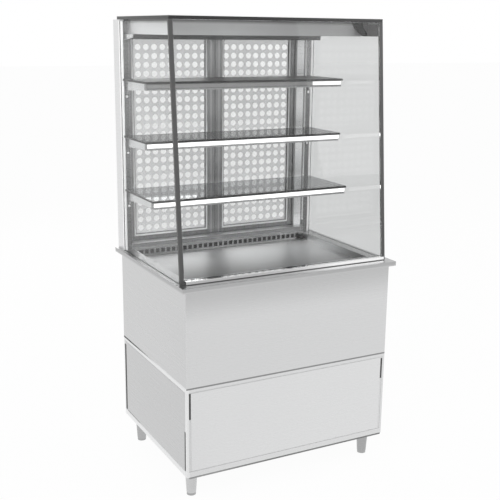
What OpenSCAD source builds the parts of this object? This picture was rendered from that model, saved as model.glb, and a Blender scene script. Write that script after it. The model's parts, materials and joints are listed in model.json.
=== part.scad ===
// Refrigerated display case: a stainless counter cabinet on four legs with a glass box,
// three lit glass shelves and two hinged rear doors. Millimetres, X right, Y back, Z up.
// The origin is on the floor, under the middle of the whole outline.

/* [Body] */
// Width of the cabinet body
body_w = 900; // [800:10:1300]
// Depth of the cabinet body
body_d = 670; // [620:10:800]
// Height of the lower body, with the inset panels
lower_h = 361; // [330:1:450]
// Height of the plain upper body
upper_h = 376; // [350:1:450]
// Thickness of the body's sheet
sheet_t = 1.5; // [1:0.5:3]
// Depth of the folded returns on the upper panels
return_d = 25; // [15:1:30]
// Height of the shadow gap between upper and lower body
shadow_h = 4; // [2:1:8]
// Depth of the shadow gap
shadow_d = 8; // [4:1:12]

/* [Lower frame] */
// Width of the seats behind the inset panels
seat_w = 10; // [8:1:14]
// Thickness of the frame's sheet
frame_t = 2; // [1.5:0.5:3]
// Visible strip at each side of an inset panel
strip_side = 10; // [6:1:20]
// Visible strip above an inset panel
strip_top = 14; // [8:1:24]
// Visible strip below an inset panel
strip_bottom = 22; // [12:1:30]
// Depth of an inset panel
inset_d = 14; // [8:1:20]
// Gap at each side of an inset panel
inset_gap_side = 8; // [3:1:12]
// Gap above and below an inset panel
inset_gap_end = 3; // [1:0.5:5]
// Thickness of the floor plate
floor_t = 2; // [1.5:0.5:4]
// Number of vent slots in the lower rear panel
vent_count = 11; // [6:1:14]
// Width of a vent slot
vent_w = 340; // [200:10:370]
// Height of a vent slot
vent_h = 9; // [5:1:12]
// Distance between vent slots
vent_pitch = 20; // [14:1:20]

/* [Legs] */
// Height of the legs, floor to body
leg_h = 108; // [90:1:150]
// Radius of a leg at its top
leg_r_top = 25; // [20:1:30]
// Radius of a leg at its foot
leg_r_low = 19; // [16:1:20]
// Distance from the body's side face to a leg's middle
leg_in_x = 48; // [40:1:90]
// Distance from the body's front or back face to a leg's middle
leg_in_y = 67; // [50:1:120]
// Thickness of a levelling foot
foot_t = 10; // [8:1:14]
// Radius of a levelling foot
foot_r = 18; // [14:1:19]
// Radius of a levelling foot's stud
stud_r = 6; // [4:0.5:8]
// Length of a levelling foot's stud
stud_len = 62; // [45:1:75]

/* [Worktop] */
// Thickness of the worktop
worktop_t = 18; // [15:1:30]
// Overhang of the worktop at each side
overhang_side = 20; // [16:1:40]
// Overhang of the worktop at the front
overhang_front = 20; // [10:1:40]
// Overhang of the worktop at the back
overhang_rear = 25; // [24:1:40]
// Distance from the glass to the well at each side
well_in_side = 48; // [44:1:80]
// Distance from the front pane's foot to the well
well_in_front = 16; // [14:1:60]
// Depth of the worktop between the well and the door sill
sill_d = 29; // [20:1:60]
// Depth of the display pan below the worktop
pan_drop = 28; // [24:1:40]
// Thickness of the worktop's sheet
top_t = 3; // [2:0.5:4]
// Thickness of the worktop's folded edges
fold_t = 2; // [1.5:0.5:3]
// How far the worktop's return reaches in over the body
return_in = 12; // [8:1:20]
// Depth of the air channel behind the grille
channel_d = 24; // [16:1:26]

/* [Air grille] */
// Width of a slot
slot_w = 17; // [8:1:19]
// Height of a slot
slot_h = 18; // [10:1:20]
// Distance between slots
slot_pitch = 24.5; // [20:0.5:30]
// Thickness of the grille
grille_t = 2; // [1.5:0.5:3]

/* [Tub] */
// Thickness of the foam below the tub
foam_floor = 40; // [30:1:50]
// Depth of the tub below the display pan
tub_depth = 210; // [190:1:230]
// Width of the ledge that carries the pan
ledge_w = 7; // [5:1:10]
// Radius of the drain
drain_r = 9; // [6:1:12]

/* [Glass box] */
// Height of the glass box above the worktop
glass_h = 950; // [850:10:1100]
// Distance from the worktop's side edge to the glass
glass_in = 15; // [10:1:30]
// Distance from the worktop's front edge to the front pane's foot
glass_front = 57; // [50:1:90]
// How far the front pane leans back over its height
glass_lean = 88; // [40:1:120]
// Thickness of the side and front panes
pane_t = 8; // [6:1:10]
// Thickness of the roof pane
roof_t = 12; // [8:1:14]
// Distance from the roof's back edge to the worktop's back edge
roof_back = 47; // [40:1:60]
// Width of the dark corner bands
band_w = 16; // [12:1:24]
// Depth of the dark corner bands
band_t = 10; // [9:1:14]
// Height of the gaskets under the roof
gasket_t = 6; // [4:1:8]
// Length left open behind each roof gasket
gasket_open = 121; // [60:1:140]
// Height of the front rail
rail_h = 14; // [12:1:20]
// Front part of the rail, ahead of the pane
rail_ahead = 16; // [10:1:24]
// Back part of the rail, behind the pane
rail_behind = 4; // [3:1:5]
// Thickness of the rail under the pane
rail_floor = 4; // [3:1:6]

/* [Rear posts] */
// Width of a rear post
post_w = 40; // [32:1:50]
// Depth of a rear post
post_d = 70; // [60:1:90]
// Wall of a rear post
post_wall = 2; // [1.5:0.5:4]
// Depth of the bevelled edge beside the glass
bevel_d = 6; // [4:1:16]
// How far that edge is set back
bevel_in = 3; // [2:1:6]

/* [Canopy] */
// Height of the canopy box
canopy_h = 55; // [45:1:70]
// Distance from the front pane to the canopy
canopy_back = 95; // [80:1:130]
// Height of the lamp under the canopy
lamp_h = 19; // [14:1:24]
// Depth of the lamp under the canopy
lamp_d = 48; // [40:1:60]
// Distance from the posts to the lamp
lamp_gap = 47; // [20:1:60]

/* [Shelves] */
// Height of the upper shelf above the worktop
upper_z = 708; // [690:1:720]
// Height of the middle shelf above the worktop
middle_z = 480; // [460:1:500]
// Height of the lower shelf above the worktop
lower_z = 259; // [220:1:280]
// Depth of the upper shelf
upper_depth = 252; // [230:1:260]
// Depth of the middle shelf
middle_depth = 246; // [230:1:300]
// Depth of the lower shelf
lower_depth = 306; // [260:1:330]
// Thickness of a shelf
shelf_t = 8; // [6:1:10]
// Distance from the glass's inner face to a shelf
shelf_in = 6; // [4:1:14]
// Distance from a post's inner side to its brackets
bracket_in = 9; // [6:1:14]
// Distance from a shelf's end to its light strip
light_in = 5; // [2:1:12]
// Thickness of a shelf bracket
bracket_t = 4; // [3:1:5]
// Height of a bracket at its front
bracket_front_h = 25; // [22:1:34]
// Height of a bracket at its back
bracket_rear_h = 38; // [34:1:48]
// Height of the tab that bears on the post
bracket_tab_h = 52; // [50:1:60]
// Distance from the tab down to the screw
screw_below = 11; // [8:1:50]
// Distance from a shelf's front edge to its bracket
bracket_back = 30; // [26:1:40]
// Height of a light strip
light_h = 25; // [22:1:28]
// Distance from a shelf's front edge to its light strip
light_back = 3; // [2:1:6]
// Thickness of a light strip's diffuser
diffuser_t = 3; // [2:1:4]
// Height of a housing's lip under its diffuser
light_lip = 4.5; // [2:0.5:8]

/* [Rear doors] */
// Thickness of a door
door_t = 18; // [16:1:22]
// Gap between the doors and the frame they close on
door_gap = 4; // [4:0.5:8]
// Gap above and below a door
door_end = 5; // [5:0.5:8]
// How far a door reaches over its stop
door_lap = 14; // [10:1:16]
// Gap between the two doors
door_meet = 3; // [2:0.5:6]
// Width of a door's stiles
stile_w = 34; // [30:1:40]
// Height of a door's bottom and top rails
door_rail_h = 31; // [28:1:45]
// Width of the bead round a door's glass
bead_w = 8; // [6:1:10]
// Thickness of a door's glass
door_glass_t = 6; // [4:1:6]
// Depth of the step round a door's glass
bead_step = 3; // [2:0.5:3]
// Depth of the door sill and header
bar_depth = 50; // [40:1:60]
// Height of the door sill
sill_h = 18; // [14:1:24]
// Height of the door header
header_h = 22; // [18:1:30]
// Wall of the door sill and header
bar_wall = 2; // [1.5:0.5:4]
// Width of the door stop on a post
stop_w = 18; // [14:1:24]
// Depth of the door stop on a post
stop_d = 17; // [12:1:24]
// Radius of a hinge pin
hinge_r = 4; // [3:0.5:5]
// Distance from a door's outer edge to its hinge pins
hinge_in = 8; // [7:0.5:8]
// Length of a hinge pin
pin_len = 20; // [14:1:24]
// Thickness of a hinge's plates
leaf_t = 3; // [2.5:0.5:3]
// Height of a hinge's plate on the post
leaf_h = 30; // [20:1:45]
// Height of a door handle
handle_h = 140; // [110:5:200]
// Width of a door handle
handle_w = 14; // [12:1:20]
// How far a door handle stands out
handle_out = 30; // [28:1:40]
// Thickness of a door handle's grip and feet
grip_t = 8; // [6:1:10]

/* [Cooling] */
// Radius of the compressor's shell
comp_r = 70; // [60:1:85]
// Height of the compressor's straight side
comp_h = 110; // [100:1:150]
// Radius of the condenser fan
cond_fan_r = 110; // [90:1:120]
// Radius of the evaporator fan
evap_fan_r = 75; // [60:1:80]
// Radius of a fan motor's shaft
shaft_r = 4; // [3:0.5:5]
// Number of blades on a fan
blade_count = 5; // [3:1:7]
// Radius of the refrigerant lines
pipe_r = 5; // [4:1:6]

/* [Controls] */
// Width of the control plate
plate_w = 170; // [150:1:200]
// Height of the control plate
plate_h = 66; // [60:1:70]
// Thickness of the control plate
plate_t = 3; // [2:0.5:4]
// Radius of the thermostat knob
knob_r = 19; // [14:1:22]
// Depth of the thermostat knob
knob_d = 14; // [10:1:16]
// Radius of a rocker switch
rocker_r = 13; // [10:1:15]
// Width of a rocker switch
rocker_w = 16; // [12:1:20]
// Radius of the cable gland
gland_r = 11; // [9:1:13]
// Radius of the gland's bore
gland_bore_r = 4.5; // [3.5:0.5:6]

/* [Fits] */
// Gap between pieces that don't touch
clear = 0.3; // [0.2:0.05:0.5]
// Radial clearance of a shaft in its hole
run_clear = 0.08; // [0.04:0.01:0.1]
// Radius of a screw's shank
screw_r = 2.5; // [2:0.5:3]
// Radius of a screw's head
screw_head_r = 5; // [4:0.5:6]
// Thickness of a screw's head
screw_head_t = 2.6; // [2:0.2:4]
// Length of a screw's shank
screw_len = 12; // [8:1:16]

/* [Hidden] */
$fn = 48;
eps = 0.01;

// Heights
split_z = leg_h + lower_h;
body_top = split_z + upper_h;
top_z = body_top + worktop_t;
roof_z = top_z + glass_h - roof_t;
all_z = top_z + glass_h;

// Plan
worktop_w = body_w + 2 * overhang_side;
worktop_d = body_d + overhang_front + overhang_rear;
rear_out = door_gap + door_t + handle_out;
mid_y = -rear_out / 2;
back_y = mid_y + worktop_d / 2;
front_y = mid_y - worktop_d / 2;
body_front = front_y + overhang_front;
body_back = back_y - overhang_rear;
body_x = body_w / 2;
glass_x = worktop_w / 2 - glass_in;
post_front = back_y - post_d;
post_in = glass_x - post_w;

// Outer face of the leaning front pane at a height
function pane_y(z) = front_y + glass_front + glass_lean * (z - top_z) / glass_h;

// Doors, which close on the posts' stops and on the sill and header
bar_front = back_y - bar_depth;
opening_half = post_in - clear;
door_edge = post_in - stop_w + door_lap;
door_w = door_edge - door_meet / 2;
door_y = back_y + door_gap;
door_z = top_z + door_end;
door_h = roof_z - door_end - door_z;
pin_x = door_edge - hinge_in;
pin_y = door_y + door_t / 2;

// Well, pan and tub
well_x = glass_x - well_in_side;
well_front = pane_y(top_z) + pane_t + well_in_front;
well_back = bar_front - sill_d;
pan_z = top_z - pan_drop;
ledge_z = pan_z - sheet_t;
tub_top = ledge_z - sheet_t;
tub_x = well_x - ledge_w;
tub_front = well_front + ledge_w;
channel_back = well_back + channel_d;
tub_back = channel_back - ledge_w;
tub_z = tub_top - tub_depth;
foam_z = tub_z - foam_floor;

// Shelves
shelf_x = glass_x - pane_t - shelf_in;
shelf_back = post_front - clear;
bracket_x = post_in + bracket_in;
light_half = shelf_x - light_in;
shelf_heights = [top_z + upper_z, top_z + middle_z, top_z + lower_z];
shelf_depths = [upper_depth, middle_depth, lower_depth];
function shelf_front(i) = shelf_back - shelf_depths[i];
screw_drop = bracket_tab_h + screw_below;

// Canopy
canopy_z = roof_z - clear - canopy_h;
canopy_rear = bar_front - clear;
lamp_z = canopy_z - clear - lamp_h;

// Legs
leg_x = body_x - leg_in_x;
leg_front = body_front + leg_in_y;
leg_rear = body_back - leg_in_y;
leg_gap = 0.5;

// Control plate, on the upper rear panel below the foam
plate_x = 180;
plate_z = (split_z + shadow_h + foam_z) / 2 - 4;
knob_x = plate_x - 45;
power_x = plate_x + 15;
light_x = plate_x + 45;
rocker_clear = 0.6;
gland_x = -250;

// Machine space
machine_z = leg_h + floor_t;
comp_x = -190;
comp_y = mid_y + 120;
cond_x = 190;
cond_y = mid_y + 60;
coil_w = 290;
coil_h = 270;
coil_t = 66;
shroud_t = 50;
fan_wall = 2;
fan_start = 8;
motor_t = 20;
fin_pitch = 12;
fin_t = 1.5;
core_t = 12;
evap_w = 560;
evap_t = 90;
evap_h = 180;
evap_y = mid_y - 120;
evap_shroud_t = 46;
evap_fan_x = 0;
port_len = 14;
port_z = machine_z + 100;
elbow_ratio = 1.4;
riser_x = 320;
riser_shares = [0.3, 0.7];
liquid_x = cond_x + coil_w / 2 - 40;

// Small helpers

module box(x0, x1, y0, y1, z0, z1) {
    translate([x0, y0, z0]) cube([x1 - x0, y1 - y0, z1 - z0]);
}

// Extrude an outline given in (y, z) from x0 to x1
module side_shape(x0, x1, points) {
    translate([x0, 0, 0]) rotate([90, 0, 90]) linear_extrude(x1 - x0) polygon(points);
}

module mirrored_x() {
    children();
    mirror([1, 0, 0]) children();
}

module rod_y(x, y0, y1, z, r) {
    translate([x, y0, z]) rotate([-90, 0, 0]) cylinder(r = r, h = y1 - y0);
}

// A pipe along points that lie square to one another, with a ball elbow at each corner
module pipe_run(points) {
    for (i = [0 : len(points) - 2]) {
        a = points[i];
        d = points[i + 1] - a;
        length = norm(d);
        translate(a) rotate([0, acos(d[2] / length), atan2(d[1], d[0])]) cylinder(r = pipe_r, h = length);
    }
    for (i = [1 : 1 : len(points) - 2]) translate(points[i]) sphere(r = pipe_r * elbow_ratio);
}

// Legs and feet

module leg(x, y) {
    translate([x, y, 0]) difference() {
        translate([0, 0, foot_t + leg_gap])
            cylinder(r1 = leg_r_low, r2 = leg_r_top, h = leg_h - foot_t - leg_gap);
        translate([0, 0, foot_t])
            cylinder(r = stud_r + run_clear, h = stud_len + 4);
    }
}

module legs() {
    color("#c9cbcd") {
        for (x = [-leg_x, leg_x], y = [leg_front, leg_rear]) leg(x, y);
    }
}

module foot(x, y) {
    color("#8e9193") translate([x, y, 0]) {
        cylinder(r = foot_r, h = foot_t);
        translate([0, 0, foot_t - eps]) cylinder(r = stud_r, h = stud_len);
    }
}

module foot_front_left() { foot(-leg_x, leg_front); }
module foot_front_right() { foot(leg_x, leg_front); }
module foot_rear_left() { foot(-leg_x, leg_rear); }
module foot_rear_right() { foot(leg_x, leg_rear); }

// Lower body

bar_d = inset_d + seat_w;
frame_top = split_z - shadow_h / 2;
panel_low = leg_h + strip_bottom;
panel_high = frame_top - strip_top;

// A ring of bars of depth d, seen from above
module bar_ring(d, z0, z1) {
    difference() {
        box(-body_x, body_x, body_front, body_back, z0, z1);
        box(-body_x + d, body_x - d, body_front + d, body_back - d, z0 - 1, z1 + 1);
    }
}

// The whole width and depth of the body, less a margin
module body_slab(margin, z0, z1) {
    box(-body_x + margin, body_x - margin, body_front + margin, body_back - margin, z0, z1);
}

module lower_frame() {
    color("#d2d4d6") {
        difference() {
            union() {
                bar_ring(bar_d, leg_h, panel_low + seat_w);
                bar_ring(bar_d, panel_high - seat_w, frame_top);
                for (x = [-body_x, body_x - bar_d], y = [body_front, body_back - bar_d])
                    translate([x, y, leg_h]) cube([bar_d, bar_d, frame_top - leg_h]);
            }
            for (y = [body_front - 1, body_back - inset_d])
                box(-body_x + strip_side, body_x - strip_side, y, y + inset_d + 1, panel_low, panel_high);
            for (x = [-body_x - 1, body_x - inset_d])
                box(x, x + inset_d + 1, body_front + strip_side, body_back - strip_side, panel_low, panel_high);
            body_slab(frame_t, leg_h + frame_t, panel_low - frame_t);
            body_slab(frame_t, panel_high + frame_t, frame_top - frame_t);
        }
        difference() {
            body_slab(shadow_d, frame_top - eps, frame_top + shadow_h);
            body_slab(bar_d, frame_top - 1, frame_top + shadow_h + 1);
        }
    }
}

module floor_plate() {
    color("#b9bbbd") body_slab(bar_d, leg_h, leg_h + floor_t);
}

// A tray with its face at y = 0, looking along -Y, and its open back at y = inset_d
module inset_tray(w, h) {
    difference() {
        translate([-w / 2, 0, 0]) cube([w, inset_d, h]);
        translate([-w / 2 + sheet_t, sheet_t, sheet_t]) cube([w - 2 * sheet_t, inset_d, h - 2 * sheet_t]);
    }
}

inset_w = body_w - 2 * (strip_side + inset_gap_side);
inset_side_w = body_d - 2 * (strip_side + inset_gap_side);
inset_h = panel_high - panel_low - 2 * inset_gap_end;
body_mid = (body_front + body_back) / 2;

module lower_panel_front() {
    color("#dfe1e2") translate([0, body_front, panel_low + inset_gap_end]) inset_tray(inset_w, inset_h);
}

module lower_panel_left() {
    color("#d8dadb") translate([-body_x, body_mid, panel_low + inset_gap_end])
        rotate([0, 0, -90]) inset_tray(inset_side_w, inset_h);
}

module lower_panel_right() {
    mirror([1, 0, 0]) lower_panel_left();
}

module rear_vent_panel() {
    vent_z = (inset_h - (vent_count - 1) * vent_pitch - vent_h) / 2;
    color("#cfd1d3") translate([0, body_back, panel_low + inset_gap_end]) rotate([0, 0, 180]) difference() {
        inset_tray(inset_w, inset_h);
        for (i = [0 : vent_count - 1], s = [-1, 1])
            translate([s * inset_w / 4 - vent_w / 2, -1, vent_z + i * vent_pitch])
                cube([vent_w, sheet_t + 2, vent_h]);
    }
}

// Upper body

upper_low = split_z + shadow_h / 2;

module upper_front_shape() {
    box(-body_x, body_x, body_front, body_front + sheet_t, upper_low, body_top);
    for (z = [upper_low, body_top - sheet_t])
        box(-body_x + return_d + 2 * sheet_t, body_x - return_d - 2 * sheet_t,
            body_front, body_front + return_d, z, z + sheet_t);
}

module upper_panel_front() {
    color("#d6d8da") upper_front_shape();
}

module upper_panel_left() {
    color("#d0d2d4") {
        box(-body_x, -body_x + sheet_t, body_front + sheet_t, body_back - sheet_t, upper_low, body_top);
        for (z = [upper_low, body_top - sheet_t])
            box(-body_x, -body_x + return_d, body_front + sheet_t + clear, body_back - sheet_t - clear,
                z, z + sheet_t);
    }
}

module upper_panel_right() {
    mirror([1, 0, 0]) upper_panel_left();
}

module upper_panel_rear() {
    color("#cfd1d3") difference() {
        translate([0, 2 * body_mid, 0]) mirror([0, 1, 0]) upper_front_shape();
        box(plate_x - plate_w / 2 + 12, plate_x + plate_w / 2 - 12, body_back - 5, body_back + 5,
            plate_z - plate_h / 2 + 12, plate_z + plate_h / 2 - 12);
        rod_y(gland_x, body_back - 5, body_back + 5, plate_z, gland_r * 0.7);
    }
}

// Tub

module tub_insulation() {
    foam_top = body_top - sheet_t - clear;
    color("#e6dfb8") difference() {
        box(-body_x + sheet_t, body_x - sheet_t, body_front + sheet_t, body_back - sheet_t, foam_z, foam_top);
        box(-well_x, well_x, well_front, channel_back, tub_top, foam_top + 1);
        box(-tub_x, tub_x, tub_front, tub_back, tub_z, tub_top + 1);
        translate([0, tub_front + 60, foam_z - 1]) cylinder(r = drain_r + clear, h = foam_floor + 2);
        for (f = riser_shares)
            translate([riser_x, evap_y + evap_t * f, foam_z - 1]) cylinder(r = pipe_r + clear, h = foam_floor + 2);
    }
}

module tub_liner() {
    color("#c4c6c8") difference() {
        union() {
            box(-tub_x, tub_x, tub_front, tub_back, tub_z, tub_top);
            box(-well_x + clear, well_x - clear, well_front + clear, channel_back - clear,
                tub_top, tub_top + sheet_t);
            translate([0, tub_front + 60, foam_z - 30]) cylinder(r = drain_r, h = foam_floor + 30 + eps);
        }
        box(-tub_x + sheet_t, tub_x - sheet_t, tub_front + sheet_t, tub_back - sheet_t,
            tub_z + sheet_t, tub_top + sheet_t + 1);
        translate([0, tub_front + 60, foam_z - 31]) cylinder(r = drain_r - sheet_t, h = foam_floor + 35);
        for (f = riser_shares)
            translate([riser_x, evap_y + evap_t * f, tub_z - 1]) cylinder(r = pipe_r + clear, h = sheet_t + 2);
    }
}

// The pan runs on under the sill as an air channel, with a slot down to the tub
module display_pan() {
    half = well_x - clear;
    color("#bfc1c3") difference() {
        box(-half, half, well_front + clear, channel_back - clear, ledge_z, top_z - 1);
        box(-half + sheet_t, half - sheet_t, well_front + clear + sheet_t, channel_back - clear - sheet_t,
            pan_z, top_z);
        box(-well_x, well_x, well_back - clear, channel_back, top_z - top_t - clear, top_z);
        box(-tub_x + 40, tub_x - 40, well_back + 4, well_back + 10, ledge_z - 1, pan_z + 1);
    }
}

module rear_air_grille() {
    half = well_x - clear - sheet_t - 1;
    y0 = well_back - grille_t - clear;
    slot_count = floor((2 * half - slot_w) / slot_pitch);
    z0 = (pan_z + top_z - slot_h) / 2;
    color("#9b9d9f") difference() {
        box(-half, half, y0, y0 + grille_t, pan_z, top_z);
        for (i = [0 : slot_count - 1])
            translate([(i - (slot_count - 1) / 2) * slot_pitch - slot_w / 2, y0 - 1, z0])
                cube([slot_w, grille_t + 2, slot_h]);
    }
}

// A folded sheet with an edge all round, a return over the body and a skirt round the well
module worktop() {
    x1 = worktop_w / 2;
    inner = body_x - return_in;
    color("#dcdedf") difference() {
        box(-x1, x1, front_y, back_y, body_top, top_z);
        difference() {
            box(-x1 + fold_t, x1 - fold_t, front_y + fold_t, back_y - fold_t, body_top + fold_t, top_z - top_t);
            box(-well_x - fold_t, well_x + fold_t, well_front - fold_t, well_back, body_top, top_z);
        }
        difference() {
            box(-inner, inner, body_front + return_in, body_back - return_in, body_top - 1, body_top + fold_t + 1);
            box(-well_x - fold_t, well_x + fold_t, well_front - fold_t, well_back, body_top - 2, top_z);
        }
        box(-well_x, well_x, well_front, well_back, body_top - 1, top_z + 1);
        box(-well_x, well_x, well_back - 1, channel_back, body_top - 1, top_z - top_t);
    }
}

// Glass box

rail_half = glass_x - band_w - clear;

module front_rail() {
    y0 = pane_y(top_z) - rail_ahead;
    y1 = pane_y(top_z + rail_h) + pane_t + clear + rail_behind;
    color("#e8e9ea") difference() {
        box(-rail_half, rail_half, y0, y1, top_z, top_z + rail_h);
        box(-rail_half - 1, rail_half + 1, pane_y(top_z + rail_floor) - clear,
            pane_y(top_z + rail_h) + pane_t + clear, top_z + rail_floor, top_z + rail_h + 1);
    }
}

module front_glass() {
    z0 = top_z + rail_floor;
    z1 = roof_z - clear;
    color("#a9c4c6", 0.3) side_shape(-rail_half, rail_half, [
        [pane_y(z0), z0], [pane_y(z0) + pane_t, z0], [pane_y(z1) + pane_t, z1], [pane_y(z1), z1]
    ]);
}

module side_glass_right() {
    z1 = roof_z - gasket_t;
    color("#a9c4c6", 0.3) side_shape(glass_x - pane_t, glass_x, [
        [pane_y(top_z) + band_t, top_z], [post_front, top_z],
        [post_front, z1], [pane_y(z1) + band_t, z1]
    ]);
}

module side_glass_left() {
    mirror([1, 0, 0]) side_glass_right();
}

module roof_glass() {
    color("#8fa9ab", 0.4)
        box(-glass_x, glass_x, pane_y(all_z), back_y - roof_back, roof_z, all_z);
}

module glass_seals() {
    z1 = roof_z - gasket_t;
    color("#3c3f42") mirrored_x() {
        side_shape(glass_x - band_w, glass_x, [
            [pane_y(top_z), top_z], [pane_y(top_z) + band_t, top_z],
            [pane_y(roof_z) + band_t, roof_z], [pane_y(roof_z), roof_z]
        ]);
        box(glass_x - pane_t, glass_x, pane_y(roof_z) + band_t + clear, post_front - gasket_open, z1, roof_z);
    }
}

// Rear posts

module rear_post_right() {
    t = post_wall;
    color("#d9dbdc") difference() {
        union() {
            translate([0, 0, top_z]) linear_extrude(roof_z - top_z) polygon([
                [post_in, post_front], [glass_x - bevel_in, post_front], [glass_x, post_front + bevel_d],
                [glass_x, back_y], [post_in, back_y]
            ]);
            box(post_in - stop_w, post_in + eps, back_y - stop_d, back_y,
                top_z + sill_h + clear, roof_z - header_h - clear);
        }
        translate([0, 0, top_z - 1]) linear_extrude(roof_z - top_z + 1 - t) polygon([
            [post_in + t, post_front + t], [glass_x - bevel_in - t, post_front + t],
            [glass_x - t, post_front + bevel_d + 1], [glass_x - t, back_y - t], [post_in + t, back_y - t]
        ]);
        for (z = shelf_heights)
            rod_y(bracket_x + bracket_t / 2, post_front - 1, post_front + t + 1,
                z - shelf_t - screw_drop, screw_r + run_clear);
    }
}

module rear_post_left() {
    mirror([1, 0, 0]) rear_post_right();
}

// Canopy

module canopy_shell() {
    t = sheet_t;
    z0 = canopy_z;
    z1 = roof_z - clear;
    y0 = pane_y(z0) + canopy_back;
    y1 = pane_y(z1) + canopy_back;
    color("#c2c4c6") difference() {
        side_shape(-opening_half, opening_half, [[y0, z0], [canopy_rear, z0], [canopy_rear, z1], [y1, z1]]);
        side_shape(-opening_half + t, opening_half - t, [
            [y0 + t, z0 + t], [canopy_rear + 1, z0 + t], [canopy_rear + 1, z1 - t], [y1 + t, z1 - t]
        ]);
    }
}

module canopy_lamp() {
    lamp_back = post_front - lamp_gap;
    half = bracket_x - clear;
    color("#4b4e50") difference() {
        box(-half, half, lamp_back - lamp_d, lamp_back, lamp_z, lamp_z + lamp_h);
        box(-half + 12, half - 12, lamp_back - lamp_d + 6, lamp_back - 6, lamp_z - 1, lamp_z + 4);
    }
}

// Shelves, brackets and lights

module bracket(i) {
    z = shelf_heights[i] - shelf_t;
    y0 = shelf_front(i) + bracket_back;
    side_shape(bracket_x, bracket_x + bracket_t, [
        [post_front, z], [y0 + 6, z], [y0, z - 6], [y0, z - bracket_front_h],
        [post_front - 16, z - bracket_rear_h], [post_front - 12, z - bracket_tab_h], [post_front, z - bracket_tab_h]
    ]);
}

module shelf_brackets() {
    lamp_back = post_front - lamp_gap;
    color("#d9dadb") mirrored_x() {
        for (i = [0 : 2]) bracket(i);
        side_shape(bracket_x, bracket_x + bracket_t, [
            [post_front, lamp_z - 4], [post_front, lamp_z + lamp_h], [lamp_back - lamp_d + 6, lamp_z + lamp_h],
            [lamp_back - lamp_d + 10, lamp_z + 6]
        ]);
    }
}

module panhead_screws() {
    color("#eceded") mirrored_x() {
        for (z = shelf_heights) {
            x = bracket_x + bracket_t / 2;
            rod_y(x, post_front - screw_head_t, post_front, z - shelf_t - screw_drop, screw_head_r);
            rod_y(x, post_front - eps, post_front + screw_len, z - shelf_t - screw_drop, screw_r);
        }
    }
}

module shelf(i) {
    z = shelf_heights[i];
    color("#5d6466", 0.7) box(-shelf_x, shelf_x, shelf_front(i), shelf_back, z - shelf_t, z);
}

module shelf_upper() { shelf(0); }
module shelf_middle() { shelf(1); }
module shelf_lower() { shelf(2); }

module light_housings() {
    color("#a6a8aa") for (i = [0 : 2]) {
        z = shelf_heights[i] - shelf_t;
        y0 = shelf_front(i) + light_back;
        y1 = y0 + diffuser_t;
        difference() {
            union() {
                box(-light_half, light_half, y1, shelf_front(i) + bracket_back, z - light_h, z);
                box(-light_half, light_half, y0, y1 + eps, z - light_h, z - light_h + light_lip);
            }
            box(-light_half + 2, light_half - 2, y1 + 8, shelf_front(i) + bracket_back + 1, z - light_h + 3, z - 3);
        }
    }
}

module light_diffuser(i) {
    z = shelf_heights[i] - shelf_t;
    y0 = shelf_front(i) + light_back;
    color("#ffffff")
        box(-light_half + 1, light_half - 1, y0, y0 + diffuser_t, z - light_h + light_lip + clear, z - 1);
}

module light_diffuser_upper() { light_diffuser(0); }
module light_diffuser_middle() { light_diffuser(1); }
module light_diffuser_lower() { light_diffuser(2); }

// Doors

// The sill or the header, a channel of height h with its open side down
module channel_bar(h) {
    difference() {
        box(-opening_half, opening_half, bar_front, back_y, 0, h);
        box(-opening_half - 1, opening_half + 1, bar_front + bar_wall, back_y - bar_wall, -1, h - bar_wall);
    }
}

module rear_frame_bars() {
    color("#b4b7b9") {
        translate([0, 0, top_z]) channel_bar(sill_h);
        translate([0, 0, roof_z]) mirror([0, 0, 1]) channel_bar(header_h);
    }
}

// A hinge of the right door on the post's back, with its pin up into the door
module hinge() {
    reach = hinge_r + 3.5;
    x1 = post_in + 25;
    box(pin_x - reach, x1, back_y + clear, pin_y + reach, 0, leaf_t);
    box(post_in + 1, x1, back_y, back_y + leaf_t, 0, leaf_h);
    translate([pin_x, pin_y, leaf_t - eps]) {
        cylinder(r = reach, h = door_end - leaf_t - clear + eps);
        cylinder(r = hinge_r, h = pin_len + eps);
    }
}

module door_hinges() {
    color("#8f9294") mirrored_x() {
        translate([0, 0, top_z]) hinge();
        translate([0, 0, roof_z]) mirror([0, 0, 1]) hinge();
    }
}

// A door with its hinge edge at x = 0 and its front face at y = 0
module door_frame() {
    inset = stile_w + bead_w;
    rail_in = door_rail_h + bead_w;
    groove = [stile_w + 1, (door_t - door_glass_t) / 2 - clear, door_rail_h + 1];
    bore = pin_len + leaf_t - door_end + 1;
    difference() {
        cube([door_w, door_t, door_h]);
        translate([inset, -1, rail_in]) cube([door_w - 2 * inset, door_t + 2, door_h - 2 * rail_in]);
        for (y = [-1, door_t - bead_step])
            translate([stile_w, y, door_rail_h])
                cube([door_w - 2 * stile_w, bead_step + 1, door_h - 2 * door_rail_h]);
        translate(groove)
            cube([door_w - 2 * groove[0], door_glass_t + 2 * clear, door_h - 2 * groove[2]]);
        for (z = [-1, door_h - bore])
            translate([hinge_in, door_t / 2, z]) cylinder(r = hinge_r + run_clear, h = bore + 1);
    }
}

module door_glass() {
    inset = stile_w + 1 + clear;
    rail_in = door_rail_h + 1 + clear;
    translate([inset, (door_t - door_glass_t) / 2, rail_in])
        cube([door_w - 2 * inset, door_glass_t, door_h - 2 * rail_in]);
}

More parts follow.
